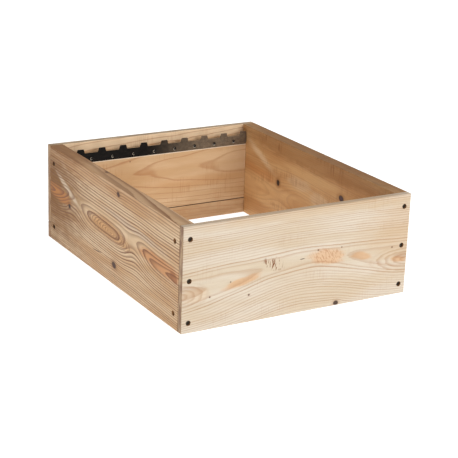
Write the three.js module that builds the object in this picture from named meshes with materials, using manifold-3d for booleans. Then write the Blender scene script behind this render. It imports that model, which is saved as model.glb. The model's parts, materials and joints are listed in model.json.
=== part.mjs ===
// Shallow hive box (super) of the Langstroth pattern: an open frame of pine boards that stands on the hive
// body below it and carries hanging frames. Millimetres, +Z up. The origin is at the centre of the bottom
// rim, +Y runs along the long side boards and the front end board is at -Y.

import * as THREE from 'three';
import { mergeVertices } from 'three/addons/utils/BufferGeometryUtils.js';
import Module from 'manifold-3d';

const wasm = await Module();
wasm.setup();

// ---- Driving dimensions -------------------------------------------------------------------------------

const WIDTH = 425; // outside, along X
const LENGTH = 510; // outside, along Y
const HEIGHT = 174; // a shallow (medium) super
const BOARD = 24.5; // planed board thickness
const JOINT_GAP = 0.3; // hairline left in every wood joint and round every fastener

// End boards: rebated at both ends for the side boards, and along the top for the frame lugs.
const LIP = 11.5; // wood left outside the rebates
const LEDGE_DROP = 20; // frame ledge below the top rim
const SEAM_HEIGHT = 30; // glue line of the two staves of the rear end board

// Castellated frame spacers: a sheet-steel strip on each end board, with tabs that part the frame lugs.
const STRIP_THICKNESS = 1;
const STRIP_END_CLEARANCE = 1;
const STRIP_BOTTOM = 138.7;
const SLOT_FLOOR = 156.2;
const TAB_TOP = 164.1;
const TAB_COUNT = 9;
const TAB_PITCH = 42.4; // centre distance of the hanging frames
const FIRST_TAB_X = -159.9; // the strip is cut from longer stock, so its tabs aren't centred
const TAB_BASE_WIDTH = 16.5;
const TAB_TOP_WIDTH = 12.2;
const NAIL_HEIGHT = 145.2;

// Fastener holes: room beyond the point, and how far the cutting shape reaches out past the face.
const TIP_CLEARANCE = 1;
const HOLE_OVERCUT = 3;

// Wood screws, sunk below the face they enter.
const SCREW = {
  headRadius: 3.8,
  rim: 0.6,
  sunk: 2.2,
  headHeight: 2.8,
  shankRadius: 1.9,
  length: 48,
  tip: 6,
};
const END_SCREW_HEIGHTS = [17, 85.5, 153];
const SIDE_SCREW_HEIGHTS = [26, 144];
const SIDE_SCREW_FROM_END = 26.2;
const SIDE_SCREW_SKEW = THREE.MathUtils.degToRad(15); // driven towards the end board
const SCREW_SIDES = 12;

// Clout nails that hold the spacers.
const NAIL = {
  headRadius: 2.6,
  crownRadius: 2.1,
  headHeight: 1.1,
  shankRadius: 1.1,
  length: 17,
  tip: 2.5,
};
const NAIL_HEAD_GAP = 0.1; // between the head and the strip
const NAIL_SIDES = 10;

const HALF_WIDTH = WIDTH / 2;
const HALF_LENGTH = LENGTH / 2;
const INNER_HALF_WIDTH = HALF_WIDTH - BOARD;
const INNER_HALF_LENGTH = HALF_LENGTH - BOARD;
const LEDGE_HEIGHT = HEIGHT - LEDGE_DROP;

// ---- Materials ----------------------------------------------------------------------------------------

const pine = new THREE.MeshStandardMaterial({ color: 0xd9b88c, roughness: 0.65, metalness: 0 });
const warmPine = new THREE.MeshStandardMaterial({ color: 0xc39a6b, roughness: 0.65, metalness: 0 });
const spacerSteel = new THREE.MeshStandardMaterial({ color: 0x4c4740, roughness: 0.4, metalness: 1 });
const screwSteel = new THREE.MeshStandardMaterial({ color: 0x2b2724, roughness: 0.5, metalness: 1 });
const nailSteel = new THREE.MeshStandardMaterial({ color: 0x8a8680, roughness: 0.35, metalness: 1 });

// ---- Solids -------------------------------------------------------------------------------------------

// A closed three.js geometry as a solid that can be cut and joined.
function solidOf(geometry) {
  const bare = geometry.clone();
  bare.deleteAttribute('normal');
  bare.deleteAttribute('uv');
  const merged = mergeVertices(bare, 1e-5);
  const mesh = new wasm.Mesh({
    numProp: 3,
    vertProperties: new Float32Array(merged.attributes.position.array),
    triVerts: new Uint32Array(merged.index.array),
  });
  return new wasm.Manifold(mesh);
}

// A solid back as a three.js geometry.
function geometryOf(solid) {
  const mesh = solid.getMesh();
  const geometry = new THREE.BufferGeometry();
  geometry.setAttribute('position', new THREE.BufferAttribute(mesh.vertProperties, 3));
  geometry.setIndex(new THREE.BufferAttribute(mesh.triVerts, 1));
  geometry.computeVertexNormals();
  return geometry;
}

// A box between two opposite corners.
function boxBetween(low, high) {
  const size = new THREE.Vector3().subVectors(high, low);
  const centre = new THREE.Vector3().addVectors(low, high).multiplyScalar(0.5);
  return new THREE.BoxGeometry(size.x, size.y, size.z).translate(centre.x, centre.y, centre.z);
}

// A turned shape round +Y, from [radius, height] pairs that run up the profile from axis to axis.
function turned(profile, sides) {
  return new THREE.LatheGeometry(profile.map(([r, y]) => new THREE.Vector2(r, y)), sides);
}

// Where a fastener sits: its local -Y points into the wood and its local origin is on the face.
function fastenerPlace(point, inward) {
  const down = new THREE.Vector3(0, -1, 0);
  const turn = new THREE.Quaternion().setFromUnitVectors(down, inward);
  return new THREE.Matrix4().compose(point, turn, new THREE.Vector3(1, 1, 1));
}

// ---- Fasteners ----------------------------------------------------------------------------------------

// Countersunk screw: pointed shank, cone, short rim and a flat head below the face.
function screwGeometry() {
  const top = -SCREW.sunk;
  return turned([
    [0, top - SCREW.length],
    [SCREW.shankRadius, top - SCREW.length + SCREW.tip],
    [SCREW.shankRadius, top - SCREW.headHeight],
    [SCREW.headRadius, top - SCREW.rim],
    [SCREW.headRadius, top],
    [0, top],
  ], SCREW_SIDES);
}

// The hole the screw leaves: bored above the head, then following the screw with the joint gap all round.
function screwHole() {
  const top = -SCREW.sunk;
  const shank = SCREW.shankRadius + JOINT_GAP;
  const head = SCREW.headRadius + JOINT_GAP;
  return turned([
    [0, top - SCREW.length - TIP_CLEARANCE],
    [shank, top - SCREW.length + SCREW.tip - TIP_CLEARANCE],
    [shank, top - SCREW.headHeight - JOINT_GAP],
    [head, top - SCREW.rim - JOINT_GAP],
    [head, HOLE_OVERCUT],
    [0, HOLE_OVERCUT],
  ], SCREW_SIDES);
}

// Clout nail: pointed shank under a flat round head that stands on the strip.
function nailGeometry() {
  return turned([
    [0, -NAIL.length],
    [NAIL.shankRadius, -NAIL.length + NAIL.tip],
    [NAIL.shankRadius, NAIL_HEAD_GAP],
    [NAIL.headRadius, NAIL_HEAD_GAP],
    [NAIL.crownRadius, NAIL.headHeight],
    [0, NAIL.headHeight],
  ], NAIL_SIDES);
}

// The hole the nail leaves in the strip and in the wood behind it.
function nailHole() {
  const shank = NAIL.shankRadius + JOINT_GAP;
  return turned([
    [0, -NAIL.length - TIP_CLEARANCE],
    [shank, -NAIL.length + NAIL.tip - TIP_CLEARANCE],
    [shank, HOLE_OVERCUT],
    [0, HOLE_OVERCUT],
  ], NAIL_SIDES);
}

// Every screw of the box, with its name and its place.
const screws = [];
for (const [end, ySide] of [['front', -1], ['rear', 1]]) {
  for (const [hand, xSide] of [['left', -1], ['right', 1]]) {
    END_SCREW_HEIGHTS.forEach((z, row) => {
      screws.push({
        name: `${end}_end_screw_${hand}_${row + 1}`,
        place: fastenerPlace(
          new THREE.Vector3(xSide * (HALF_WIDTH - BOARD / 2), ySide * HALF_LENGTH, z),
          new THREE.Vector3(0, -ySide, 0),
        ),
      });
    });
    SIDE_SCREW_HEIGHTS.forEach((z, row) => {
      screws.push({
        name: `${hand}_side_screw_${end}_${row + 1}`,
        place: fastenerPlace(
          new THREE.Vector3(xSide * HALF_WIDTH, ySide * (HALF_LENGTH - SIDE_SCREW_FROM_END), z),
          new THREE.Vector3(-xSide * Math.cos(SIDE_SCREW_SKEW), ySide * Math.sin(SIDE_SCREW_SKEW), 0),
        ),
      });
    });
  }
}

// Every nail: one below each slot between two tabs, in both strips.
const nails = [];
for (const [end, ySide] of [['front', -1], ['rear', 1]]) {
  const face = ySide * (INNER_HALF_LENGTH - JOINT_GAP - STRIP_THICKNESS);
  for (let slot = 0; slot < TAB_COUNT - 1; slot += 1) {
    nails.push({
      name: `${end}_spacer_nail_${slot + 1}`,
      end,
      place: fastenerPlace(
        new THREE.Vector3(FIRST_TAB_X + (slot + 0.5) * TAB_PITCH, face, NAIL_HEIGHT),
        new THREE.Vector3(0, ySide, 0),
      ),
    });
  }
}

// Takes the holes of all fasteners that reach a piece out of it.
function drilled(solid, places, hole) {
  let cut = solid;
  for (const place of places) {
    cut = cut.subtract(solidOf(hole.clone().applyMatrix4(place)));
  }
  return cut;
}

function screwed(solid) {
  return drilled(solid, screws.map((screw) => screw.place), screwHole());
}

// ---- Boards -------------------------------------------------------------------------------------------

// End board at -Y or +Y between two heights: full width outside, with its inner half stopping at the side
// boards and below the frame ledge.
function endBoard(ySide, low, high) {
  const face = ySide * HALF_LENGTH;
  const lipFace = ySide * (HALF_LENGTH - LIP);
  const inside = ySide * INNER_HALF_LENGTH;
  const lip = solidOf(boxBetween(
    new THREE.Vector3(-HALF_WIDTH, Math.min(face, lipFace), low),
    new THREE.Vector3(HALF_WIDTH, Math.max(face, lipFace), high),
  ));
  const tongueEnd = INNER_HALF_WIDTH - JOINT_GAP;
  const middle = ySide * (HALF_LENGTH - LIP / 2);
  const tongue = solidOf(boxBetween(
    new THREE.Vector3(-tongueEnd, Math.min(middle, inside), low),
    new THREE.Vector3(tongueEnd, Math.max(middle, inside), Math.min(high, LEDGE_HEIGHT)),
  ));
  const end = ySide < 0 ? 'front' : 'rear';
  const nailPlaces = nails.filter((nail) => nail.end === end).map((nail) => nail.place);
  return drilled(screwed(lip.add(tongue)), nailPlaces, nailHole());
}

// Side board: a plain plank with square ends that sit in the end boards' rebates.
function sideBoard(xSide) {
  const outside = xSide * HALF_WIDTH;
  const inside = xSide * INNER_HALF_WIDTH;
  const end = HALF_LENGTH - LIP - JOINT_GAP;
  return screwed(solidOf(boxBetween(
    new THREE.Vector3(Math.min(outside, inside), -end, 0),
    new THREE.Vector3(Math.max(outside, inside), end, HEIGHT),
  )));
}

// ---- Frame spacers ------------------------------------------------------------------------------------

// Outline of the strip, seen along Y: a straight foot with tapered tabs standing on its upper edge.
function spacerOutline() {
  const end = INNER_HALF_WIDTH - STRIP_END_CLEARANCE;
  const shape = new THREE.Shape();
  shape.moveTo(-end, STRIP_BOTTOM);
  shape.lineTo(end, STRIP_BOTTOM);
  shape.lineTo(end, SLOT_FLOOR);
  for (let tab = TAB_COUNT - 1; tab >= 0; tab -= 1) {
    const centre = FIRST_TAB_X + tab * TAB_PITCH;
    const base = Math.min(centre + TAB_BASE_WIDTH / 2, end);
    const top = Math.min(centre + TAB_TOP_WIDTH / 2, end);
    if (base < end) {
      shape.lineTo(base, SLOT_FLOOR);
    }
    shape.lineTo(top, TAB_TOP);
    shape.lineTo(centre - TAB_TOP_WIDTH / 2, TAB_TOP);
    shape.lineTo(centre - TAB_BASE_WIDTH / 2, SLOT_FLOOR);
  }
  shape.lineTo(-end, SLOT_FLOOR);
  shape.closePath();
  return shape;
}

function frameSpacer(ySide) {
  const sheet = new THREE.ExtrudeGeometry(spacerOutline(), { depth: STRIP_THICKNESS, bevelEnabled: false });
  sheet.rotateX(Math.PI / 2);
  const back = ySide * (INNER_HALF_LENGTH - JOINT_GAP);
  sheet.translate(0, ySide > 0 ? back : back + STRIP_THICKNESS, 0);
  const end = ySide < 0 ? 'front' : 'rear';
  const places = nails.filter((nail) => nail.end === end).map((nail) => nail.place);
  return drilled(solidOf(sheet), places, nailHole());
}

// ---- The box ------------------------------------------------------------------------------------------

const hiveBox = new THREE.Group();

function addPiece(name, geometry, material, place) {
  const mesh = new THREE.Mesh(geometry, material);
  mesh.name = name;
  if (place) {
    place.decompose(mesh.position, mesh.quaternion, mesh.scale);
  }
  hiveBox.add(mesh);
}

addPiece('front_end_board', geometryOf(endBoard(-1, 0, HEIGHT)), pine);
addPiece('rear_end_board_upper_stave', geometryOf(endBoard(1, SEAM_HEIGHT + JOINT_GAP / 2, HEIGHT)), pine);
addPiece('rear_end_board_lower_stave', geometryOf(endBoard(1, 0, SEAM_HEIGHT - JOINT_GAP / 2)), pine);
addPiece('left_side_board', geometryOf(sideBoard(-1)), warmPine);
addPiece('right_side_board', geometryOf(sideBoard(1)), warmPine);
addPiece('front_frame_spacer', geometryOf(frameSpacer(-1)), spacerSteel);
addPiece('rear_frame_spacer', geometryOf(frameSpacer(1)), spacerSteel);

for (const screw of screws) {
  addPiece(screw.name, screwGeometry(), screwSteel, screw.place);
}
for (const nail of nails) {
  addPiece(nail.name, nailGeometry(), nailSteel, nail.place);
}

export default hiveBox;
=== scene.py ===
# Looks of a shallow pine hive box: five boards, sunk screws, toothed steel spacers and their nails.
# Lengths are in metres. A wood's description is in millimetres along the board, up it and into it.

import json
import math
from itertools import product

import bmesh
import bpy
from mathutils import Matrix, Vector, noise


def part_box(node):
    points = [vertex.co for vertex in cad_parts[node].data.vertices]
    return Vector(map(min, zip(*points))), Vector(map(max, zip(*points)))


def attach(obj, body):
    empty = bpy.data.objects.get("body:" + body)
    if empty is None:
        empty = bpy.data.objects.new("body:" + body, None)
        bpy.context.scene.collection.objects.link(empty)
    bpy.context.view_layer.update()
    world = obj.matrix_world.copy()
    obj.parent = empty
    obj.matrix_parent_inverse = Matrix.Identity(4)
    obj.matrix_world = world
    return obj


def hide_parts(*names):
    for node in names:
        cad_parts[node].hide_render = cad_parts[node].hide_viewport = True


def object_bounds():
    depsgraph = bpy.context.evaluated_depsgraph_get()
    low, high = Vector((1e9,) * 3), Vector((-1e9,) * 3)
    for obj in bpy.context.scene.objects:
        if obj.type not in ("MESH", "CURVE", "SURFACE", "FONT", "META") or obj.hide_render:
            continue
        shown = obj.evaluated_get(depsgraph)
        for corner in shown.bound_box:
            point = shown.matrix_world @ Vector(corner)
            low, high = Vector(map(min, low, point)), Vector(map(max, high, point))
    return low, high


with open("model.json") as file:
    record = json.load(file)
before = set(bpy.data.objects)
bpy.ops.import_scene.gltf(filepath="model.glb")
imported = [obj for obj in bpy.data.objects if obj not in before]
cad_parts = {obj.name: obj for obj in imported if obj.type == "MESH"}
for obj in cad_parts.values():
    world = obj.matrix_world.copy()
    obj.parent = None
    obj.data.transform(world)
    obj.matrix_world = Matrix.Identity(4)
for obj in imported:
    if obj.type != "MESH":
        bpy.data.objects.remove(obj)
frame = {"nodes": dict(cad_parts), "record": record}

cad_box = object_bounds()
MM = 0.001

# ---- Sizes taken from the frame ----

MOUNTS = {mount["name"]: mount for mount in frame["record"]["mounts"]}
OPENINGS = {opening["name"]: opening["box_m"] for opening in frame["record"]["physics"]["openings"]}
HALF_WIDTH = cad_box[1].x
HALF_LENGTH = cad_box[1].y
HEIGHT = cad_box[1].z
SIDE_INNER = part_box("right_side_board")[0].x
SIDE_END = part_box("right_side_board")[1].y
BOARD = HALF_WIDTH - SIDE_INNER
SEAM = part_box("rear_end_board_lower_stave")[1].z
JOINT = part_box("rear_end_board_upper_stave")[0].z - SEAM
LEDGE = MOUNTS["front_ledge"]["pos_m"][2]
STRIP_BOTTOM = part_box("rear_frame_spacer")[0].z

ARRIS = 0.9 * MM  # rounding of a planed board's edges
ARRIS_STEPS = 2
TIGHT_ARRIS = 0.25 * MM  # where two boards meet
SURFACE_STEP = 5.0 * MM  # mesh spacing on the boards' faces
RUB_DEPTH = 0.12 * MM  # mean wear of the arrises
CHIP_DEPTH = 0.75 * MM
WAVE_DEPTH = 0.07 * MM  # waviness of the planed faces


# ---- Node helpers ----

def srgb(red, green, blue):
    """A display colour from 0 to 255 as the linear colour that shaders use."""
    def linear(value):
        share = value / 255
        return share / 12.92 if share <= 0.04045 else ((share + 0.055) / 1.055) ** 2.4
    return (linear(red), linear(green), linear(blue), 1.0)


class Wire:
    """An output socket in a material. Sums and products of wires add Math nodes."""

    def __init__(self, sheet, socket):
        self.sheet = sheet
        self.socket = socket

    def math(self, operation, *others):
        node = self.sheet.node("ShaderNodeMath", operation=operation)
        for slot, value in zip(node.inputs, (self, *others)):
            self.sheet.feed(slot, value)
        return Wire(self.sheet, node.outputs[0])

    def __add__(self, other):
        return self.math("ADD", other)

    def __sub__(self, other):
        return self.math("SUBTRACT", other)

    def __mul__(self, other):
        return self.math("MULTIPLY", other)

    def squared(self):
        return self.math("MULTIPLY", self)

    def smooth(self, low, high, start=0.0, end=1.0):
        """Goes smoothly from start at low to end at high."""
        node = self.sheet.node("ShaderNodeMapRange", interpolation_type="SMOOTHSTEP")
        for slot, value in zip(node.inputs, (self, low, high, start, end)):
            self.sheet.feed(slot, value)
        return Wire(self.sheet, node.outputs[0])

    def hump(self, centre, width):
        """A bell curve, 1 at centre and nearly 0 two widths away."""
        return ((self - centre) * (1 / width)).squared().math("MULTIPLY", -1).math("EXPONENT")


class Sheet:
    """A material under construction."""

    def __init__(self, name):
        self.material = bpy.data.materials.new(name)
        self.material.use_nodes = True
        self.tree = self.material.node_tree
        self.tree.nodes.clear()

    def node(self, kind, **settings):
        made = self.tree.nodes.new(kind)
        for key, value in settings.items():
            setattr(made, key, value)
        return made

    def feed(self, slot, value):
        if isinstance(value, Wire):
            self.tree.links.new(value.socket, slot)
        else:
            slot.default_value = value

    def point(self):
        """The piece's own coordinates, in millimetres, as three wires."""
        coordinates = self.node("ShaderNodeTexCoord").outputs["Object"]
        split = self.node("ShaderNodeSeparateXYZ")
        self.tree.links.new(coordinates, split.inputs[0])
        return [Wire(self, output) * 1000.0 for output in split.outputs]

    def facing(self, axis):
        """How squarely the surface faces along an axis, from -1 to 1."""
        split = self.node("ShaderNodeSeparateXYZ")
        self.tree.links.new(self.node("ShaderNodeNewGeometry").outputs["Normal"], split.inputs[0])
        return Wire(self, split.outputs[axis])

    def joined(self, x, y, z):
        node = self.node("ShaderNodeCombineXYZ")
        for slot, value in zip(node.inputs, (x, y, z)):
            self.feed(slot, value)
        return Wire(self, node.outputs[0])

    def noise(self, place, sizes, shift=0.0, detail=1.0, rough=0.5):
        """Smooth noise from 0 to 1 whose blotches have the given sizes along three axes."""
        mapping = self.node("ShaderNodeMapping")
        self.feed(mapping.inputs["Vector"], place)
        mapping.inputs["Location"].default_value = (shift, shift * 0.7, shift * 1.3)
        mapping.inputs["Scale"].default_value = [1 / size for size in sizes]
        node = self.node("ShaderNodeTexNoise")
        self.tree.links.new(mapping.outputs[0], node.inputs["Vector"])
        node.inputs["Scale"].default_value = 1.0
        node.inputs["Detail"].default_value = detail
        node.inputs["Roughness"].default_value = rough
        return Wire(self, node.outputs[0])

    def oval(self, place, spot):
        """Distance from a spot's centre, 1 on its outline. A spot with two radii goes right through."""
        centre = (*spot["at"], 0)[:3]
        radii = (*spot["radii"], THROUGH)[:3]
        mapping = self.node("ShaderNodeMapping", vector_type="TEXTURE")
        self.feed(mapping.inputs["Vector"], place)
        mapping.inputs["Location"].default_value = centre
        mapping.inputs["Rotation"].default_value = (0, 0, math.radians(spot.get("turn", 0)))
        mapping.inputs["Scale"].default_value = radii
        length = self.node("ShaderNodeVectorMath", operation="LENGTH")
        self.tree.links.new(mapping.outputs[0], length.inputs[0])
        return Wire(self, length.outputs["Value"])

    def mix(self, share, first, second, kind="MIX"):
        """A colour between two others."""
        node = self.node("ShaderNodeMix", data_type="RGBA", blend_type=kind)
        self.feed(node.inputs[0], share)
        self.feed(node.inputs[6], first)
        self.feed(node.inputs[7], second)
        return Wire(self, node.outputs[2])

    def glow(self, strength):
        """An even white light given off by the surface."""
        node = self.node("ShaderNodeEmission")
        node.inputs["Color"].default_value = (1, 1, 1, 1)
        node.inputs["Strength"].default_value = strength
        return node

    def show(self, shader):
        """Ends the material with this shader."""
        output = self.node("ShaderNodeOutputMaterial")
        self.tree.links.new(shader.outputs[0], output.inputs[0])
        return self.material

    def finish(self, colour, roughness, height, depth, **fixed):
        """Adds the surface shader: height is a bump of the given depth, fixed are plain socket values."""
        shader = self.node("ShaderNodeBsdfPrincipled")
        self.feed(shader.inputs["Base Color"], colour)
        self.feed(shader.inputs["Roughness"], roughness)
        for name, value in fixed.items():
            shader.inputs[name.replace("_", " ")].default_value = value
        bump = self.node("ShaderNodeBump")
        bump.inputs["Distance"].default_value = depth
        self.feed(bump.inputs["Height"], height)
        self.tree.links.new(bump.outputs[0], shader.inputs["Normal"])
        return self.show(shader)


# ---- Pine ----

THROUGH = 1e5  # depth radius of a spot that goes right through a board
FIBRE_BEND = 0.16  # how far fibres shift a year's edge, in years
YEAR_SPREAD = 1.1  # how unevenly the years are spaced
BARK_BROWN = srgb(58, 34, 22)
FIBRE_BROWN = srgb(96, 66, 40)
END_STAIN = srgb(118, 78, 50)


class Pine:
    """A planed softwood board's material. The look says where the tree's pith runs and how wide its years
    are, and gives its colours, knots, patches of stain, painted shade and painted light, and where it has
    them its eyes, cracks, torn places and lines."""

    def __init__(self, name, axes, look):
        self.sheet = Sheet(name)
        self.look = look
        self.along, self.up, self.into = axes(*self.sheet.point())
        self.place = self.sheet.joined(self.along, self.up, self.into)
        self.fibre = self.blotches((30, 0.8, 0.8), 9, detail=3.0, rough=0.6)
        self.ragged = (self.blotches((26, 7, 7), 4, detail=2.0) - 0.5) * 0.7
        self.knots = [self.sheet.oval(self.place, knot) for knot in look["knots"]]
        self.late = self.late_wood()
        self.colour = self.plain_wood()

    def blotches(self, sizes, shift, detail=1.0, rough=0.5):
        return self.sheet.noise(self.place, sizes, self.look["seed"] + shift, detail, rough)

    def tint(self, share, colour):
        self.colour = self.sheet.mix(share, self.colour, colour)

    def humps(self, humps):
        """The sum of humps of (size, centre, width) along the board."""
        total = self.along * 0.0
        for size, centre, width in humps:
            total = total + self.along.hump(centre, width) * size
        return total

    def late_wood(self):
        """1 in the dark end of each year's growth. Years are counted outwards from the pith, and slow
        noise and the knots bend them."""
        look = self.look
        sway = (self.blotches((140, 45, 45), 0) - 0.5) * look["sway"]
        drift = (self.blotches((90, 30, 60), 5) - 0.5) * look["drift"]
        base, slope, humps = look["pith_height"]
        high = self.up - self.along * slope - base + sway
        near = high.hump(0.0, look["reach"])
        high = high - self.humps(humps) * near
        base, slope, humps = look["pith_depth"]
        deep = self.into + self.along * slope + base + self.humps(humps) * near + drift
        radius = (high.squared() + deep.squared()).math("SQRT")
        for knot, oval in zip(look["knots"], self.knots):
            if "bend" in knot:
                radius = radius + oval.hump(0.0, 2.2) * knot["bend"]
        years = radius * (1 / look["year"]) + radius.squared() * look.get("crowding", 0.0)
        years = years + high * look.get("lean", 0.0)
        years = years + (self.fibre - 0.5) * FIBRE_BEND
        uneven = self.sheet.noise(self.sheet.joined(years, 0.0, 0.0), (2.3, 1, 1), look["seed"] + 2)
        years = years + uneven * YEAR_SPREAD
        count = years.math("FLOOR")
        season = years - count
        lot = self.sheet.node("ShaderNodeTexWhiteNoise", noise_dimensions="1D")
        self.sheet.feed(lot.inputs["W"], count + look["seed"])
        strength = Wire(self.sheet, lot.outputs["Value"]).smooth(0.0, 1.0, look["faint"], 1.0)
        return season.smooth(look["onset"], 0.92) * season.smooth(0.94, 1.0, 1.0, 0.0) * strength

    def plain_wood(self):
        """Two shades of early wood, then patches of stain, painted shade and painted light, late wood lines,
        resin flecks and fibres.
        """
        look = self.look
        tone = self.blotches((170, 26, 30), 3, detail=2.0).smooth(0.36, 0.68)
        self.colour = self.sheet.mix(tone, look["early"], look["deep"])
        # patches: stains, and a few of painted shade and painted light
        for patch in look["patches"]:
            oval = self.sheet.oval(self.place, patch) + self.ragged * patch.get("ragged", 1.0)
            inner = patch.get("core", 0.55)
            self.tint(oval.smooth(inner, 1.1, patch["share"], 0.0), patch["colour"])
        for eye in look.get("eyes", ()):
            self.tint(self.eye_rings(eye), look["late"])
        self.tint(self.late * look["line_share"], look["late"])
        fleck = self.blotches((9, 0.7, 0.7), 6).smooth(0.70, 0.78)
        self.tint(fleck * 0.28, look["late"])
        self.tint(self.fibre.smooth(0.25, 0.75, 0.10, 0.0), FIBRE_BROWN)
        return self.colour

    def eye_rings(self, eye):
        """Fine nested ovals where the saw just grazed the years nearest the pith."""
        oval = self.sheet.oval(self.place, eye) + self.ragged * 0.25
        season = (oval * eye["rings"]).math("FRACT")
        line = season.smooth(0.3, 0.8) * season.smooth(0.88, 1.0, 1.0, 0.0)
        return line * oval.smooth(0.8, 1.0, eye["share"], 0.0)

    def add_planing(self):
        """Fine chatter that a planer leaves across the grain, in places."""
        chatter = self.blotches((1.8, 38, 38), 7).smooth(0.45, 0.75)
        self.planing = chatter * self.blotches((60, 30, 30), 8).smooth(0.5, 0.7)
        self.tint(self.planing * self.look["chatter"], self.look["late"])

    def add_knots(self):
        for knot, oval in zip(self.look["knots"], self.knots):
            edge = oval + self.ragged * knot.get("ragged", 0.5)
            halo = edge.smooth(0.9, 1.1) * edge.smooth(1.0, 2.6, knot.get("halo", 0.3), 0.0)
            rim = edge.smooth(0.62, 0.92) * edge.smooth(0.98, 1.25, knot.get("rim", 0.7), 0.0)
            self.tint(halo, self.look["late"])
            self.tint(edge.smooth(0.75, 1.08, knot.get("share", 0.95), 0.0), knot["colour"])
            self.tint(rim, BARK_BROWN)

    def add_cracks(self):
        for crack in self.look.get("cracks", ()):
            slit = self.sheet.oval(self.place, crack) + self.ragged * 0.6
            self.tint(slit.smooth(0.6, 1.1, 0.9, 0.0), BARK_BROWN)

    def add_tears(self):
        """Curly grain that the planer tore into short dark strokes."""
        for tear in self.look.get("tears", ()):
            edge = self.sheet.oval(self.place, tear) + self.ragged
            turned = self.sheet.node("ShaderNodeVectorRotate", rotation_type="Z_AXIS")
            self.sheet.feed(turned.inputs["Vector"], self.place)
            self.sheet.feed(turned.inputs["Angle"], math.radians(tear["slant"]))
            place = Wire(self.sheet, turned.outputs[0])
            strokes = self.sheet.noise(place, tear["stroke"], self.look["seed"] + 11, detail=2.0)
            share = edge.smooth(0.5, 1.1, tear["share"], 0.0) * strokes.smooth(0.5, 0.6)
            self.tint(share, tear["colour"])

    def add_lines(self):
        """Straight marks along the board: a glue line, or wood rubbed pale below a strip."""
        for line in self.look.get("lines", ()):
            wobble = self.up + (self.blotches((30, 4, 4), 13, detail=2.0) - 0.5) * 0.8
            share = wobble.smooth(line["low"] - 0.4, line["low"])
            share = share * wobble.smooth(line["high"], line["high"] + 0.4, line["share"], 0.0)
            share = share * self.into.smooth(line["depth"], line["depth"] + 1.0, 1.0, 0.0)
            self.tint(share, line["colour"])

    def add_end_grain_and_top_shade(self):
        """Sawn ends are darker, and upward faces carry a mottled painted shade."""
        look = self.look
        end = self.sheet.facing(look["end_axis"]).math("ABSOLUTE").smooth(0.6, 0.85)
        mottle = self.blotches((9, 20, 6), 14, detail=4.0, rough=0.7).smooth(0.38, 0.64)
        sawn = self.sheet.mix(mottle, look["end_colour"], END_STAIN)
        self.tint(end * 0.85, sawn)
        # painted shade: upward faces darkened towards the look's top colour, mottled
        top_mottle = self.blotches((40, 2.5, 2.5), 12, detail=3.0).smooth(0.3, 0.75, 0.4, 0.8)
        top = self.sheet.facing(2).smooth(0.55, 0.9, 0.0, look["top_share"])
        self.tint(top * top_mottle, look["top_colour"])

    def material(self):
        self.add_planing()
        self.add_knots()
        self.add_cracks()
        self.add_tears()
        self.add_lines()
        self.add_end_grain_and_top_shade()
        height = self.late * 0.5 + self.fibre * 0.5 + self.planing * 0.4
        roughness = self.late.smooth(0.0, 1.0, 0.62, 0.5)
        return self.sheet.finish(self.colour, roughness, height, 0.22 * MM, Specular_IOR_Level=0.32)


def side_axes(side):
    """Along, up and into a side board, from its outer face on the left and its inner face on the right."""
    face = -HALF_WIDTH / MM if side < 0 else SIDE_INNER / MM
    return lambda x, y, z: (y, z, x - face)


def end_axes(side):
    """Along, up and into an end board, from its outer face in front and its inner face behind."""
    face = -HALF_LENGTH / MM if side < 0 else (HALF_LENGTH - BOARD) / MM
    return lambda x, y, z: (x, z, y - face)


def pin_knot(along, up, size=1.3):
    return {"at": (along, up), "radii": (size, size * 0.9), "colour": srgb(70, 44, 28), "rim": 0.3}


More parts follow.
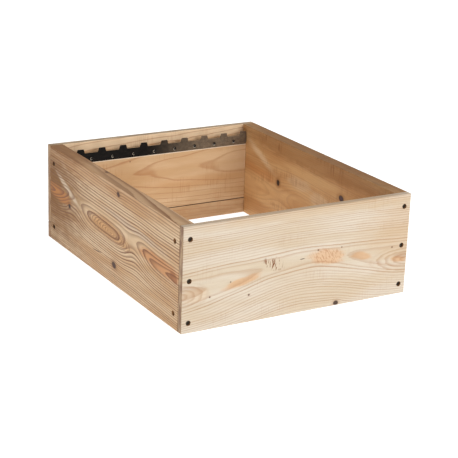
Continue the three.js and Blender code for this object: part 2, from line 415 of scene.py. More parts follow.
FRONT_LOOK = {
    "seed": 3.0,
    "pith_height": (54, 0.0, [(32, 10, 150)]),
    "pith_depth": (53.6, 0.0, [(7, 5, 150)]),
    "sway": 5,
    "drift": 3,
    "year": 2.8,
    "lean": -0.05,
    "reach": 80,
    "onset": 0.45,
    "faint": 0.35,
    "early": srgb(218, 206, 188),
    "deep": srgb(211, 194, 169),
    "late": srgb(164, 110, 64),
    "line_share": 0.66,
    "eyes": [
        {"at": (-214, 61), "radii": (52, 25), "turn": 0, "rings": 4, "share": 0.3},
        {"at": (214, 60), "radii": (80, 25), "turn": -4, "rings": 5, "share": 0.35},
    ],
    "chatter": 0.12,
    "knots": [
        {"at": (74, 4.5), "radii": (4.5, 3.6), "colour": srgb(60, 36, 24), "bend": 2.0},
        pin_knot(34, 101.5),
        pin_knot(79.5, 100, 1.0),
        pin_knot(181, 85),
        pin_knot(-163.5, 54),
        pin_knot(-93, 46, 1.6),
        pin_knot(-127, 73, 1.0),
    ],
    "patches": [
        {"at": (0, 170), "radii": (250, 18), "colour": srgb(206, 180, 146), "share": 0.6, "core": 0.2},
        {"at": (200, 110), "radii": (100, 90), "colour": srgb(204, 172, 134), "share": 0.5, "core": 0.1},
        {"at": (-106, 70), "radii": (40, 8, 16), "turn": 12, "colour": srgb(214, 162, 110), "share": 0.6},
        {"at": (54, 88), "radii": (40, 16, 16), "turn": -8, "colour": srgb(220, 172, 126), "share": 0.6},
        {"at": (120, 79), "radii": (24, 8, 16), "turn": -10, "colour": srgb(210, 158, 106), "share": 0.6},
        {"at": (-190, 60), "radii": (30, 13), "turn": 0, "colour": srgb(218, 184, 142), "share": 0.3},
        {"at": (195, 62), "radii": (18, 6), "turn": -6, "colour": srgb(204, 152, 100), "share": 0.6},
    ],
    "cracks": [{"at": (4, 91), "radii": (5, 0.8), "turn": 4}],
    "tears": [
        {"at": (-50, 92), "radii": (22, 12, 9), "turn": -20, "stroke": (2.6, 12, 9), "slant": 8, "share": 1.0,
         "colour": srgb(126, 74, 34)},
        {"at": (54, 88), "radii": (38, 16, 9), "turn": -8, "stroke": (1.6, 7, 9), "slant": -30, "share": 0.45,
         "colour": srgb(164, 102, 58)},
    ],
    "end_axis": 0,
    "end_colour": srgb(182, 150, 114),
    # painted shade on the board's upward faces
    "top_colour": srgb(164, 128, 94),
    "top_share": 0.36,
}

REAR_LOOK = {
    "seed": 11.0,
    "pith_height": (107, 0.0, []),
    "pith_depth": (65.5, -0.047, []),
    "sway": 10,
    "drift": 6,
    "year": 6.4,
    "reach": 90,
    "onset": 0.78,
    "faint": 0.45,
    "early": srgb(220, 186, 146),
    "deep": srgb(208, 168, 124),
    "late": srgb(172, 112, 64),
    "line_share": 0.85,
    "chatter": 0.35,
    "knots": [pin_knot(-60, 130, 1.0)],
    "patches": [
        # painted shade: the rear board darker towards its foot
        {"at": (0, 6), "radii": (320, 36), "colour": srgb(166, 120, 76), "share": 0.6, "core": 0.2},
        # painted light: the rear board's top band, with the lip behind the strip, brightened against the
        # shade of the rebate
        {"at": (0, 168), "radii": (300, 16), "colour": srgb(250, 222, 186), "share": 0.95},
        {"at": (-70, 105), "radii": (60, 40), "colour": srgb(190, 146, 98), "share": 0.5, "core": 0.2},
        {"at": (80, 78), "radii": (130, 14), "colour": srgb(206, 152, 98), "share": 0.4, "core": 0.2},
    ],
    "lines": [
        {"low": STRIP_BOTTOM / MM - 1.7, "high": STRIP_BOTTOM / MM, "depth": 2, "share": 0.9,
         "colour": srgb(250, 232, 208)},
        {"low": SEAM / MM - 0.5, "high": SEAM / MM + 0.8, "depth": 30, "share": 0.9,
         "colour": srgb(50, 30, 18)},
    ],
    "end_axis": 0,
    "end_colour": srgb(172, 140, 108),
    # painted shade on the board's upward faces
    "top_colour": srgb(102, 84, 66),
    "top_share": 0.95,
}

LEFT_LOOK = {
    "seed": 7.0,
    "pith_height": (88, 0.03, [(12, 155, 45), (9, -105, 40)]),
    "pith_depth": (12, 0.0, [(11, -84, 40), (10, 128, 40), (-10, -300, 110), (-10, 300, 90)]),
    "sway": 5,
    "drift": 3,
    "year": 4.8,
    "crowding": 0.0002,
    "lean": -0.03,
    "reach": 42,
    "onset": 0.26,
    "faint": 0.45,
    "early": srgb(228, 199, 162),
    "deep": srgb(210, 170, 126),
    "late": srgb(114, 60, 12),
    "line_share": 1.0,
    "eyes": [{"at": (0, 88), "radii": (88, 19), "turn": 5, "rings": 9, "share": 0.55}],
    "chatter": 0.1,
    "knots": [
        {"at": (160, 85), "radii": (4.2, 3.4), "colour": srgb(38, 22, 16), "bend": 3, "halo": 0.5},
        {"at": (-33, 162), "radii": (5.0, 3.8), "turn": 15, "colour": srgb(78, 48, 40), "bend": 2},
        {"at": (-19, 35), "radii": (7.0, 5.0), "turn": 10, "colour": srgb(70, 44, 38), "bend": 2},
        {"at": (52, 174, 21), "radii": (5, 4, 4), "colour": srgb(64, 38, 26)},
    ],
    "patches": [
        {"at": (0, 0), "radii": (280, 40), "colour": srgb(196, 150, 104), "share": 0.4, "core": 0.2},
        {"at": (220, 176), "radii": (130, 10), "colour": srgb(108, 64, 30), "share": 0.9, "core": 0.5},
        # painted shade: the left board darker and browner towards its far end
        {"at": (250, 100), "radii": (190, 150), "colour": srgb(134, 90, 34), "share": 1.0, "core": 0.1},
        {"at": (60, 164), "radii": (340, 26), "colour": srgb(190, 140, 92), "share": 0.5, "core": 0.1},
        {"at": (205, 96), "radii": (56, 15), "turn": 5, "colour": srgb(190, 124, 62), "share": 0.85},
        {"at": (-185, 90), "radii": (92, 15), "turn": 2, "colour": srgb(204, 138, 82), "share": 0.8},
        {"at": (2, 90), "radii": (86, 19), "turn": 5, "colour": srgb(214, 160, 102), "share": 0.6},
        {"at": (168, 114), "radii": (56, 7), "turn": 22, "colour": srgb(222, 200, 172), "share": 0.8},
        {"at": (-90, 119), "radii": (130, 7), "turn": 3, "colour": srgb(216, 192, 164), "share": 0.8},
        {"at": (-228, 84), "radii": (16, 10), "turn": 20, "colour": srgb(156, 92, 50), "share": 0.7},
    ],
    "cracks": [{"at": (48, 39), "radii": (19, 0.9), "turn": -6}],
    "end_axis": 1,
    "end_colour": srgb(160, 124, 92),
    # painted shade on the board's upward faces
    "top_colour": srgb(176, 134, 96),
    "top_share": 0.7,
}

RIGHT_LOOK = {
    "seed": 19.0,
    "pith_height": (60, 0.02, [(10, 60, 90)]),
    "pith_depth": (30, 0.01, [(8, 110, 60)]),
    "sway": 6,
    "drift": 5,
    "year": 3.6,
    "reach": 60,
    "onset": 0.35,
    "faint": 0.2,
    "early": srgb(212, 166, 114),
    "deep": srgb(192, 140, 88),
    "late": srgb(140, 88, 48),
    "line_share": 0.3,
    "chatter": 0.7,
    "knots": [
        {"at": (111, 93), "radii": (5, 5.5), "colour": srgb(30, 18, 12), "bend": 1.5, "halo": 0.6},
        {"at": (-93, 121), "radii": (7, 5), "colour": srgb(74, 54, 60), "bend": 1.5, "halo": 0.4},
    ],
    "patches": [
        {"at": (178, 130), "radii": (68, 11), "turn": 24, "colour": srgb(236, 208, 170), "share": 0.55,
         "core": 0.1},
        {"at": (170, 96), "radii": (60, 10), "turn": 5, "colour": srgb(198, 134, 78), "share": 0.5},
        {"at": (40, 110), "radii": (46, 14), "colour": srgb(218, 188, 152), "share": 0.4},
        {"at": (-30, 95), "radii": (40, 16), "colour": srgb(216, 188, 156), "share": 0.35},
        {"at": (0, 164), "radii": (300, 24), "colour": srgb(150, 100, 54), "share": 0.55},
    ],
    "end_axis": 1,
    "end_colour": srgb(160, 124, 92),
    # painted shade on the board's upward faces
    "top_colour": srgb(126, 94, 64),
    "top_share": 0.8,
}


def bored_wood():
    """Wall of a screw hole: torn, darkened fibres."""
    sheet = Sheet("bored_wood")
    place = sheet.joined(*sheet.point())
    torn = sheet.noise(place, (0.8, 0.8, 0.8), detail=4.0, rough=0.7)
    colour = sheet.mix(torn.smooth(0.3, 0.7), srgb(104, 70, 44), srgb(176, 130, 88))
    return sheet.finish(colour, 0.85, torn, 0.4 * MM, Specular_IOR_Level=0.1)


# ---- Steel ----

DARK_END = -34.0  # along X, where the strip's painted dark reflection begins to fade out
TAUPE_END = 105.0  # and where it is gone, leaving the taupe steel
NAIL_SHADE_FULL = 2.9  # round a nail the strip carries full painted shade up to this radius
NAIL_SHADE_GONE = 4.1  # and none beyond this one
NAIL_SHADE_ACROSS = 0.6  # how far the painted shade sits from the nail along X
NAIL_SHADE_ABOVE = 0.5  # and along Z
DISH_SHADE_SHIFT = 0.45  # how far the painted shade in a nail's dish sits off its centre, each way, leaving a painted highlight on the far side


def spacer_steel():
    """Sheet steel, taupe and scuffed, turned nearly black towards one end by a painted dark reflection,
    with a painted shade round each nail."""
    sheet = Sheet("spacer_steel")
    x, y, z = sheet.point()
    place = sheet.joined(x, y, z)
    cloud = sheet.noise(place, (34, 9, 9), detail=3.0, rough=0.6) - 0.5
    # painted dark reflection: the strip fades from its taupe steel to nearly black towards one end
    steel_share = (x + cloud * 46).smooth(DARK_END, TAUPE_END)
    rolled = sheet.noise(place, (40, 0.5, 0.5), 4.0, detail=3.0, rough=0.6)
    stain = sheet.noise(place, (7, 5, 5), 8.0, detail=4.0, rough=0.65)
    # the nearly black colour of the painted dark reflection, mottled
    dark = sheet.mix(stain.smooth(0.4, 0.75), srgb(12, 11, 10), srgb(28, 24, 22))
    light = sheet.mix(stain.smooth(0.3, 0.7), srgb(128, 113, 95), srgb(96, 83, 70))
    light = sheet.mix(rolled.smooth(0.35, 0.7, 0.0, 0.35), light, srgb(150, 136, 118))
    colour = sheet.mix(steel_share, dark, light)
    nails = sorted({round(fastener_place(nail).translation.x / MM, 2) for nail in NAILS})
    nail_height = fastener_place(NAILS[0]).translation.z / MM
    pitch = nails[1] - nails[0]
    # painted shade: a dark ring round each nail, sitting a little above it and along +X
    beside = (((x - nails[0]) * (1 / pitch) + 0.5).math("FRACT") - 0.5) * pitch - NAIL_SHADE_ACROSS
    above = z - nail_height - NAIL_SHADE_ABOVE
    reach = (beside.squared() + above.squared()).math("SQRT") + (stain - 0.5) * 1.4
    colour = sheet.mix(reach.smooth(NAIL_SHADE_FULL, NAIL_SHADE_GONE, 0.9, 0.0), colour, srgb(20, 16, 13))
    roughness = stain.smooth(0.3, 0.8, 0.42, 0.62)
    return sheet.finish(colour, roughness, rolled, 0.06 * MM, Metallic=0.4, Specular_IOR_Level=0.2)


def screw_steel():
    """Dark phosphated steel with lighter, brownish specks of dust and rust."""
    sheet = Sheet("screw_steel")
    place = sheet.joined(*sheet.point())
    grit = sheet.noise(place, (0.6, 0.6, 0.6), detail=4.0, rough=0.6)
    colour = sheet.mix(grit.smooth(0.35, 0.75), srgb(38, 31, 25), srgb(100, 84, 66))
    return sheet.finish(colour, grit.smooth(0.3, 0.8, 0.38, 0.6), grit, 0.05 * MM, Metallic=0.6)


def nail_steel():
    """Bright nail steel with a painted shade in the dished head, set off centre so that one side of the dish
    is left as a painted highlight.
    """
    sheet = Sheet("nail_steel")
    x, y, z = sheet.point()
    place = sheet.joined(x, y, z)
    grit = sheet.noise(place, (0.5, 0.5, 0.5), detail=3.0)
    # painted shade in the dish, off centre, leaving a crescent of bright steel as a painted highlight
    reach = ((x - DISH_SHADE_SHIFT).squared() + (y - DISH_SHADE_SHIFT).squared()).math("SQRT") + (grit - 0.5) * 0.5
    colour = sheet.mix(reach.smooth(2.0, 2.5), srgb(18, 15, 13), srgb(200, 188, 170))
    return sheet.finish(colour, grit.smooth(0.3, 0.8, 0.25, 0.45), grit, 0.04 * MM, Metallic=0.3)


# ---- Mesh helpers ----

def block(corner, opposite):
    """A box between two opposite corners, as its lowest and highest corner."""
    return (
        tuple(min(a, b) for a, b in zip(corner, opposite)),
        tuple(max(a, b) for a, b in zip(corner, opposite)),
    )


def block_mesh(blocks):
    """The closed surface of boxes that share faces."""
    cuts = [sorted({round(corner[axis], 7) for pair in blocks for corner in pair}) for axis in range(3)]

    def filled(cell):
        if any(not 0 <= cell[axis] < len(cuts[axis]) - 1 for axis in range(3)):
            return False
        centre = [(cuts[axis][cell[axis]] + cuts[axis][cell[axis] + 1]) / 2 for axis in range(3)]
        return any(all(low[a] < centre[a] < high[a] for a in range(3)) for low, high in blocks)

    made = bmesh.new()
    corners = {}

    def corner(index):
        if index not in corners:
            corners[index] = made.verts.new([cuts[axis][index[axis]] for axis in range(3)])
        return corners[index]

    for cell in product(*(range(len(axis_cuts) - 1) for axis_cuts in cuts)):
        if not filled(cell):
            continue
        for axis, side in product(range(3), (0, 1)):
            beyond = list(cell)
            beyond[axis] += 2 * side - 1
            if filled(beyond):
                continue
            ring = []
            for first, second in ((0, 0), (1, 0), (1, 1), (0, 1)):
                index = list(cell)
                index[axis] += side
                index[(axis + 1) % 3] += first
                index[(axis + 2) % 3] += second
                ring.append(corner(tuple(index)))
            made.faces.new(ring if side else ring[::-1])
    bmesh.ops.dissolve_limit(made, angle_limit=0.01, verts=made.verts, edges=made.edges)
    return made


def round_edges(made, meets):
    """Rounds the outward edges: softly in the open, and just breaks them where meets says boards join."""
    for tight, width, steps in ((True, TIGHT_ARRIS, 1), (False, ARRIS, ARRIS_STEPS)):
        made.normal_update()
        edges = []
        for edge in made.edges:
            middle = (edge.verts[0].co + edge.verts[1].co) / 2
            if edge.calc_face_angle_signed(0) > 1.2 and meets(middle) == tight:
                edges.append(edge)
        bmesh.ops.bevel(made, geom=edges, offset=width, segments=steps, profile=0.5, affect="EDGES")


def slice_up(made, axis, low, high, step):
    """Cuts the faces at even spacing along an axis, so that they can be shaped."""
    normal = [0, 0, 0]
    normal[axis] = 1
    count = max(1, round((high - low) / step))
    for index in range(1, count):
        point = [0, 0, 0]
        point[axis] = low + (high - low) * index / count
        geometry = made.verts[:] + made.edges[:] + made.faces[:]
        bmesh.ops.bisect_plane(made, geom=geometry, plane_co=point, plane_no=normal)


def weather(made, seed):
    """Wears the arrises unevenly, with a few small chips, and leaves planed faces very slightly wavy."""
    made.normal_update()
    shifts = []
    for vertex in made.verts:
        place = vertex.co + Vector((seed, seed, seed))
        flat = max(abs(part) for part in vertex.normal)
        on_arris = min(1.0, max(0.0, (0.985 - flat) / 0.1))
        rub = RUB_DEPTH * (1 + noise.noise(place * 40))
        chip = CHIP_DEPTH * max(0.0, noise.noise(place * 110) - 0.28)
        wave = WAVE_DEPTH * noise.noise(place * 14)
        shifts.append(vertex.normal * (wave * (1 - on_arris) - (rub + chip) * on_arris))
    for vertex, shift in zip(made.verts, shifts):
        vertex.co += shift


def piece_from(made, name, materials):
    """Turns a bmesh into an object in the scene."""
    made.normal_update()
    mesh = bpy.data.meshes.new(name)
    made.to_mesh(mesh)
    made.free()
    for material in materials:
        mesh.materials.append(material)
    piece = bpy.data.objects.new(name, mesh)
    bpy.context.scene.collection.objects.link(piece)
    return piece


def baked(piece):
    """Applies the piece's modifiers."""
    graph = bpy.context.evaluated_depsgraph_get()
    mesh = bpy.data.meshes.new_from_object(piece.evaluated_get(graph))
    piece.modifiers.clear()
    piece.data = mesh


def smooth_look(piece, sharp_above):
    """Shades smoothly, keeping edges above that angle sharp and large faces flat."""
    piece.data.polygons.foreach_set("use_smooth", [True] * len(piece.data.polygons))
    piece.data.set_sharp_from_angle(angle=math.radians(sharp_above))
    weigh = piece.modifiers.new("weigh", "WEIGHTED_NORMAL")
    weigh.keep_sharp = True
    baked(piece)


def cut_away(piece, cutter):
    """Takes the cutter's shape out of the piece, lining the cut with the cutter's own material."""
    cut = piece.modifiers.new("cut", "BOOLEAN")
    cut.operation = "DIFFERENCE"
    cut.solver = "EXACT"
    cut.material_mode = "TRANSFER"
    cut.object = cutter
    baked(piece)


def revolve(made, profile, sides, place=None, ripple=None):
    """A turned closed shape round +Z from (radius, height) pairs, from axis to axis going upwards. ripple
    changes the radius at (radius, height, angle)."""
    rings = []
    for radius, height in profile:
        if radius == 0:
            rings.append([made.verts.new((0, 0, height))])
            continue
        ring = []
        for side in range(sides):
            angle = 2 * math.pi * side / sides
            reach = ripple(radius, height, angle) if ripple else radius
            ring.append(made.verts.new((reach * math.cos(angle), reach * math.sin(angle), height)))
        rings.append(ring)
    for lower, upper in zip(rings, rings[1:]):
        for side in range(sides):
            after = (side + 1) % sides
            if len(lower) == 1:
                made.faces.new((lower[0], upper[after], upper[side]))
            elif len(upper) == 1:
                made.faces.new((lower[side], lower[after], upper[0]))
            else:
                made.faces.new((lower[side], lower[after], upper[after], upper[side]))
    if place:
        fresh = [vertex for ring in rings for vertex in ring]
        bmesh.ops.transform(made, matrix=place, verts=fresh)


def fastener_place(node):
    """Where a fastener's head is and how it points: the middle of the head's top, with +Z out of the wood."""
    points = [vertex.co for vertex in frame["nodes"][node].data.vertices]
    middle = sum(points, Vector()) / len(points)
    tip = max(points, key=lambda point: (point - middle).length)
    axis = (middle - tip).normalized()
    reach = max((point - tip).dot(axis) for point in points)
    return Matrix.Translation(tip + axis * reach) @ axis.to_track_quat("Z", "Y").to_matrix().to_4x4()


# ---- Fasteners ----

SCREWS = sorted(node for node in frame["nodes"] if "_screw_" in node)
NAILS = sorted(node for node in frame["nodes"] if "_nail_" in node)
FASTENER_GAP = 0.3 * MM
SCREW_LENGTH = 48 * MM
HEAD_RADIUS = 3.8 * MM
HEAD_HEIGHT = 2.8 * MM
SUNK = 2.2 * MM
SHANK_RADIUS = 1.9 * MM
CORE_RADIUS = 1.35 * MM
THREAD_PITCH = 2.6 * MM
THREAD_LENGTH = 30 * MM
RINGS_PER_TURN = 5
SCREW_SIDES = 18
TIP_LENGTH = 6 * MM
NAIL_LENGTH = 18.1 * MM
NAIL_SHANK = 1.1 * MM
NAIL_HEAD = 2.6 * MM
SCREW_TURN = 6.0  # radians that a screw may be turned either way
NAIL_TURN = 1.2  # and a nail
NAIL_RIDGES = 5
NAIL_RIDGE_STEP = 1.2 * MM


def thread(radius, height, angle):
    """Raises a sharp helical ridge on the threaded part of the shank, tapering in towards the point."""
    if height > THREAD_LENGTH - SCREW_LENGTH or radius < 0.3 * MM:
        return radius
    turn = (height / THREAD_PITCH - angle / (2 * math.pi) + 0.5) % 1.0 - 0.5
    ridge = max(0.0, 1 - abs(turn) / 0.3)
    taper = min(1.0, (height + SCREW_LENGTH) / TIP_LENGTH)
    return radius + (SHANK_RADIUS - CORE_RADIUS) * ridge * taper


def star_recess(radius, height, angle):
    """The threaded shank, and a six-lobed driver recess in the head."""
    if height > -HEAD_HEIGHT and 0 < radius < 2.2 * MM:
        return radius * (1 + 0.16 * math.cos(6 * angle))
    return thread(radius, height, angle)


def screw_mesh():
    """Countersunk wood screw with its head's top at the origin."""
    profile = [(0, -SCREW_LENGTH)]
    turns = THREAD_LENGTH / THREAD_PITCH
    for index in range(1, round(turns * RINGS_PER_TURN) + 1):
        height = -SCREW_LENGTH + THREAD_PITCH * index / RINGS_PER_TURN
        taper = min(1.0, (height + SCREW_LENGTH) / TIP_LENGTH)
        profile.append((CORE_RADIUS * taper, height))
    profile += [
        (CORE_RADIUS, -SCREW_LENGTH + THREAD_LENGTH + 0.6 * MM),
        (1.5 * MM, -SCREW_LENGTH + THREAD_LENGTH + 1.4 * MM),
        (1.5 * MM, -HEAD_HEIGHT - 1.2 * MM),
        (SHANK_RADIUS, -HEAD_HEIGHT),
        (HEAD_RADIUS - 0.12 * MM, -0.62 * MM),
        (HEAD_RADIUS, -0.45 * MM),
        (HEAD_RADIUS, -0.16 * MM),
        (HEAD_RADIUS - 0.16 * MM, 0),
        (2.15 * MM, 0),
        (1.95 * MM, -0.1 * MM),
        (1.7 * MM, -1.5 * MM),
        (0.9 * MM, -1.8 * MM),
        (0, -1.9 * MM),
    ]
    made = bmesh.new()
    revolve(made, profile, SCREW_SIDES, ripple=star_recess)
    return made


def nail_mesh():
    """Clout nail with a dished head and a ridged shank, its head's top at the origin."""
    profile = [(0, -NAIL_LENGTH), (0.5 * MM, -NAIL_LENGTH + 1.2 * MM), (NAIL_SHANK, -NAIL_LENGTH + 2.5 * MM)]
    for ridge in range(NAIL_RIDGES):
        height = -8 * MM + ridge * NAIL_RIDGE_STEP
        profile += [
            (NAIL_SHANK, height),
            (NAIL_SHANK * 0.9, height + NAIL_RIDGE_STEP / 4),
            (NAIL_SHANK, height + NAIL_RIDGE_STEP / 2),
        ]
    profile += [
        (NAIL_SHANK, -1.3 * MM),
        (NAIL_SHANK, -1.0 * MM),
        (NAIL_HEAD - 0.1 * MM, -1.0 * MM),
        (NAIL_HEAD, -0.8 * MM),
        (NAIL_HEAD, -0.45 * MM),
        (NAIL_HEAD - 0.06 * MM, -0.08 * MM),
        (NAIL_HEAD - 0.2 * MM, 0),
        (NAIL_HEAD - 0.3 * MM, -0.08 * MM),
        (1.75 * MM, -0.8 * MM),
        (1.2 * MM, -0.92 * MM),
        (0, -0.94 * MM),
    ]
    made = bmesh.new()
    revolve(made, profile, SCREW_SIDES)
    return made


def screw_holes():
    """One cutter for all screw holes: bores with a ragged mouth, stepping down to the shank."""
    made = bmesh.new()
    for number, node in enumerate(SCREWS):
        def ragged(radius, height, angle, number=number):
            spot = Vector((math.cos(angle), math.sin(angle), number * 3.7 + height * 300))
            torn = 0.32 * MM if height > SUNK / 2 else 0.05 * MM
            return radius + torn * noise.noise(spot * 2.1)
        bore = HEAD_RADIUS + FASTENER_GAP
        shank = SHANK_RADIUS + FASTENER_GAP
        profile = [
            (0, -SCREW_LENGTH - 1 * MM),
            (shank, -SCREW_LENGTH + TIP_LENGTH - 1 * MM),
            (shank, -HEAD_HEIGHT - FASTENER_GAP),
            (bore, -0.9 * MM),
            (bore, SUNK - 1.0 * MM),
            (bore, SUNK - 0.5 * MM),
            (bore + 0.25 * MM, SUNK),
            (bore + 0.7 * MM, SUNK + 1.5 * MM),
            (0, SUNK + 1.5 * MM),
        ]
        revolve(made, profile, 28, place=fastener_place(node), ripple=ragged)
    return made


def nail_holes():
    """One cutter for the nail holes in the strips and the wood behind them."""
    made = bmesh.new()
    bore = NAIL_SHANK + FASTENER_GAP
    profile = [
        (0, -NAIL_LENGTH - 1 * MM),
        (bore, -NAIL_LENGTH + 1.5 * MM),
        (bore, 3 * MM),
        (0, 3 * MM),
    ]
    for node in NAILS:
        revolve(made, profile, 16, place=fastener_place(node))
    return made


# ---- Boards ----

def end_board_blocks(node, side):
    """The lip and the tongue of an end board or one of its staves; side is -1 in front and 1 behind."""
    low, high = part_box(node)
    outer, inner = (low.y, high.y) if side < 0 else (high.y, low.y)
    lip_face = side * (SIDE_END + JOINT)
    tongue = SIDE_INNER - JOINT
    return [
        block((low.x, outer, low.z), (high.x, lip_face, high.z)),
        block((-tongue, lip_face, low.z), (tongue, inner, min(high.z, LEDGE))),
    ]


def tongue_edge(point):
    """Whether a point of an end board is on an edge that lies against a side board."""
    return abs(abs(point.x) - (SIDE_INNER - JOINT)) < 0.1 * MM


def side_end(point):
    """Whether a point of a side board is at one of its ends."""
    return abs(abs(point.y) - SIDE_END) < 0.1 * MM


def board(node, blocks, meets, material, seed, cutters):
    """One board: rounded and worn edges, and the holes of its fasteners."""
    made = block_mesh(blocks)
    round_edges(made, meets)
    low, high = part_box(node)
    for axis in range(3):
        if high[axis] - low[axis] > 3 * SURFACE_STEP:
            slice_up(made, axis, low[axis], high[axis], SURFACE_STEP)
    weather(made, seed)
    piece = piece_from(made, node + "_look", [material])
    for cutter in cutters:
        cut_away(piece, cutter)
    smooth_look(piece, 40)
    settle(piece, node)


def settle(piece, node):
    """The piece stands for its CAD node and rides on the box."""
    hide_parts(node)
    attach(piece, "root")


def add_boards():
    lining = bored_wood()
    screw_cutter = piece_from(screw_holes(), "screw_cutter", [lining])
    nail_cutter = piece_from(nail_holes(), "nail_cutter", [lining])
    front = Pine("front_pine", end_axes(-1), FRONT_LOOK).material()
    rear = Pine("rear_pine", end_axes(1), REAR_LOOK).material()
    left = Pine("left_pine", side_axes(-1), LEFT_LOOK).material()
    right = Pine("right_pine", side_axes(1), RIGHT_LOOK).material()
    both = [screw_cutter, nail_cutter]
    blocks = end_board_blocks("front_end_board", -1)
    board("front_end_board", blocks, tongue_edge, front, 1.0, both)
    for stave, seed, cutters in (("upper", 2.0, both), ("lower", 3.0, [screw_cutter])):
        node = f"rear_end_board_{stave}_stave"
        board(node, end_board_blocks(node, 1), tongue_edge, rear, seed, cutters)
    for hand, material, seed in (("left", left, 4.0), ("right", right, 5.0)):
        node = f"{hand}_side_board"
        board(node, [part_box(node)], side_end, material, seed, [screw_cutter])
    add_spacers(nail_cutter)
    for cutter in both:
        bpy.data.objects.remove(cutter)


# ---- Frame spacers ----

SLOT_CLEARANCE = 0.35 * MM  # between a stated slot box and the tabs beside it
FLOOR_CLEARANCE = 0.4 * MM  # between a stated slot box and the strip below it
TAB_TAPER = 2.15 * MM  # how much narrower a tab is at its top, on each side
TAB_CORNER = 1.4 * MM
CORNER_STEPS = 4
STRIP_BOW = 0.35 * MM  # how far the sheet lifts off the wood between two nails
TAB_LEAN = 0.5 * MM  # how far the tabs lean off the wood, on average
STRIP_STEP = 4 * MM  # mesh spacing on the strips
STRIP_ARRIS = 0.18 * MM
END_TAB_FOOT = 1 * MM  # the half tab at the strip's end starts this far above the slots' floor
END_TAB_TAPER = 1.6 * MM


def rounded(points, radius):
    """The closed outline with each corner replaced by a short curve."""
    out = []
    for index, corner in enumerate(points):
        before = points[index - 1] - corner
        after = points[(index + 1) % len(points)] - corner
        cut = min(radius, before.length * 0.4, after.length * 0.4)
        start = corner + before.normalized() * cut
        end = corner + after.normalized() * cut
        for step in range(CORNER_STEPS + 1):
            share = step / CORNER_STEPS
            inner = start.lerp(corner, share)
            out.append(inner.lerp(corner.lerp(end, share), share))
    return out


def strip_outline(end, low, high):
    """A spacer seen along Y, going round from its lower left corner: straight foot, tapered tabs on top."""
    slots = sorted((box for name, box in OPENINGS.items() if name.startswith(f"{end}_lug_slot")),
                   key=lambda box: box[0][0])
    gap = OPENINGS[f"{end}_strip_end_gap"]
    floor = slots[0][0][2] - FLOOR_CLEARANCE
    starts = [gap[1][0]] + [box[1][0] for box in slots]
    ends = [box[0][0] for box in slots] + [None]
    points = [Vector((low.x, low.z)), Vector((high.x, low.z))]
    for start, end_x in reversed(list(zip(starts, ends))):
        left = start + SLOT_CLEARANCE
        if end_x is None:
            points += [Vector((high.x, floor + END_TAB_FOOT)), Vector((high.x - END_TAB_TAPER, high.z))]
        else:
            right = end_x - SLOT_CLEARANCE
            points += [Vector((right, floor)), Vector((right - TAB_TAPER, high.z))]
        points += [Vector((left + TAB_TAPER, high.z)), Vector((left, floor))]
    points.append(Vector((low.x, floor)))
    return points


def add_spacers(nail_cutter):
    steel = spacer_steel()
    for end, side in (("front", -1), ("rear", 1)):
        node = f"{end}_frame_spacer"
        low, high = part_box(node)
        back, face = (high.y, low.y) if side > 0 else (low.y, high.y)
        outline = rounded(strip_outline(end, low, high), TAB_CORNER)
        made = bmesh.new()
        ring = made.faces.new([made.verts.new((point.x, back, point.y)) for point in outline])
        grown = bmesh.ops.extrude_face_region(made, geom=[ring])
        fresh = [part for part in grown["geom"] if isinstance(part, bmesh.types.BMVert)]
        bmesh.ops.translate(made, verts=fresh, vec=(0, face - back, 0))
        bmesh.ops.recalc_face_normals(made, faces=made.faces)
        rims = [edge for edge in made.edges if edge.calc_face_angle(0) > 1.2 and len(edge.link_faces) == 2]
        bmesh.ops.bevel(made, geom=rims, offset=STRIP_ARRIS, segments=1, affect="EDGES")
        slice_up(made, 0, low.x, high.x, STRIP_STEP)
        slice_up(made, 2, low.z, high.z, STRIP_STEP)
        nails = sorted(fastener_place(nail).translation.x for nail in NAILS if nail.startswith(end))
        pitch = nails[1] - nails[0]
        for vertex in made.verts:
            lift = 0.5 - 0.5 * math.cos(2 * math.pi * (vertex.co.x - nails[0]) / pitch)
            tilt = max(0.0, vertex.co.z - (low.z + high.z) / 2) / (high.z - low.z)
            lean = TAB_LEAN * tilt * (1 + noise.noise(vertex.co * 18))
            vertex.co.y -= side * (STRIP_BOW * lift + lean)
        piece = piece_from(made, node + "_look", [steel])
        cut_away(piece, nail_cutter)
        smooth_look(piece, 35)
        settle(piece, node)


def add_fasteners():
    """Screws are left at any turn, and nails with the painted highlight in the dish roughly the same way
    round.
    """
    groups = (
        (SCREWS, screw_mesh, screw_steel(), "screw_steel", SCREW_TURN),
        (NAILS, nail_mesh, nail_steel(), "nail_steel", NAIL_TURN),
    )
    for nodes, build, material, slot, turn in groups:
        pattern = piece_from(build(), slot + "_pattern", [material])
        smooth_look(pattern, 50)
        for number, node in enumerate(nodes):
            piece = bpy.data.objects.new(node + "_look", pattern.data)
            bpy.context.scene.collection.objects.link(piece)
            spin = turn * noise.noise(Vector((number * 0.37, 0.5, 0.5)))
            piece.matrix_world = fastener_place(node) @ Matrix.Rotation(spin, 4, "Z")
            settle(piece, node)
        bpy.data.objects.remove(pattern)


# ---- Stage ----

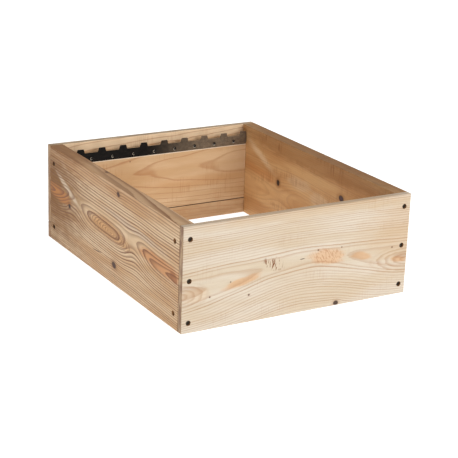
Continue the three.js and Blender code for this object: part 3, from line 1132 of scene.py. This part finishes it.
CAMERA_TARGET = Vector((10.3, -14.6, 65.8)) * MM
CAMERA_DISTANCE = 2.4428
CAMERA_AZIMUTH = 0.53906  # radians, from +Y towards +X
CAMERA_DIP = 0.32609
CAMERA_ROLL = 0.037106
CAMERA_LENS = 110.72  # millimetres
CAMERA_SENSOR = 36  # millimetres
CAMERA_FAR = 50
FLOOR_REACH = 12
FLOOR_DROP = 0.2 * MM  # keeps the floor clear of the box's underside
FLOOR_GREY = 0.42
FLOOR_GLOW = 0.95
BACKDROP_RADIUS = 20
BACKDROP_GLOW = 1.1
ROOM_GLOW = 0.36
LAMPS = (  # name, place, size, watts and colour
    ("key", (1.6, -2.9, 1.8), (2.2, 1.8), 62, (1.0, 0.985, 0.96)),
    ("left_fill", (-2.8, -1.6, 1.5), (2.8, 2.2), 22, (1.0, 0.97, 0.93)),
    ("overhead", (0.3, 0.4, 3.2), (3.0, 3.0), 24, (1.0, 0.99, 0.97)),
)


def add_camera():
    data = bpy.data.cameras.new("camera")
    data.lens = CAMERA_LENS
    data.sensor_width = CAMERA_SENSOR
    data.clip_end = CAMERA_FAR
    camera = bpy.data.objects.new("camera", data)
    bpy.context.scene.collection.objects.link(camera)
    sight = Vector((
        math.sin(CAMERA_AZIMUTH) * math.cos(CAMERA_DIP),
        math.cos(CAMERA_AZIMUTH) * math.cos(CAMERA_DIP),
        -math.sin(CAMERA_DIP),
    ))
    level = Vector((math.cos(CAMERA_AZIMUTH), -math.sin(CAMERA_AZIMUTH), 0))
    upward = level.cross(sight)
    right = level * math.cos(CAMERA_ROLL) + upward * math.sin(CAMERA_ROLL)
    top = upward * math.cos(CAMERA_ROLL) - level * math.sin(CAMERA_ROLL)
    turn = Matrix((right, top, -sight)).transposed().to_4x4()
    camera.matrix_world = Matrix.Translation(CAMERA_TARGET - sight * CAMERA_DISTANCE) @ turn
    bpy.context.scene.camera = camera


def add_lamp(name, place, size, power, colour):
    """A soft rectangular lamp that looks at the middle of the box."""
    data = bpy.data.lights.new(name, "AREA")
    data.shape = "RECTANGLE"
    data.size, data.size_y = size
    data.energy = power
    data.color = colour
    lamp = bpy.data.objects.new(name, data)
    bpy.context.scene.collection.objects.link(lamp)
    lamp.location = place
    aim = Vector((0, 0, HEIGHT / 2)) - Vector(place)
    lamp.rotation_euler = aim.to_track_quat("-Z", "Y").to_euler()


def add_backdrop():
    """A white dome behind everything, which only the camera sees: it neither lights the box nor shades it."""
    sheet = Sheet("backdrop")
    material = sheet.show(sheet.glow(BACKDROP_GLOW))
    material.cycles.emission_sampling = "NONE"
    made = bmesh.new()
    bmesh.ops.create_icosphere(made, subdivisions=3, radius=BACKDROP_RADIUS)
    dome = piece_from(made, "backdrop", [material])
    for seen_by in ("diffuse", "glossy", "transmission", "volume_scatter", "shadow"):
        setattr(dome, f"visible_{seen_by}", False)


def add_floor():
    """A white floor that is lit from within a little, as a seamless studio table is."""
    sheet = Sheet("floor")
    diffuse = sheet.node("ShaderNodeBsdfDiffuse")
    diffuse.inputs["Color"].default_value = (FLOOR_GREY, FLOOR_GREY, FLOOR_GREY, 1)
    total = sheet.node("ShaderNodeAddShader")
    sheet.tree.links.new(diffuse.outputs[0], total.inputs[0])
    sheet.tree.links.new(sheet.glow(FLOOR_GLOW).outputs[0], total.inputs[1])
    made = bmesh.new()
    bmesh.ops.create_grid(made, x_segments=8, y_segments=8, size=FLOOR_REACH)
    floor = piece_from(made, "floor", [sheet.show(total)])
    floor.location.z = -FLOOR_DROP


def add_stage():
    add_floor()
    add_backdrop()
    for name, place, size, power, colour in LAMPS:
        add_lamp(name, place, size, power, colour)
    world = bpy.data.worlds.new("studio")
    bpy.context.scene.world = world
    world.use_nodes = True
    background = world.node_tree.nodes["Background"]
    background.inputs["Color"].default_value = (1, 1, 1, 1)
    background.inputs["Strength"].default_value = ROOM_GLOW
    bpy.context.scene.view_settings.view_transform = "Standard"


add_camera()
add_boards()
add_fasteners()
add_stage()
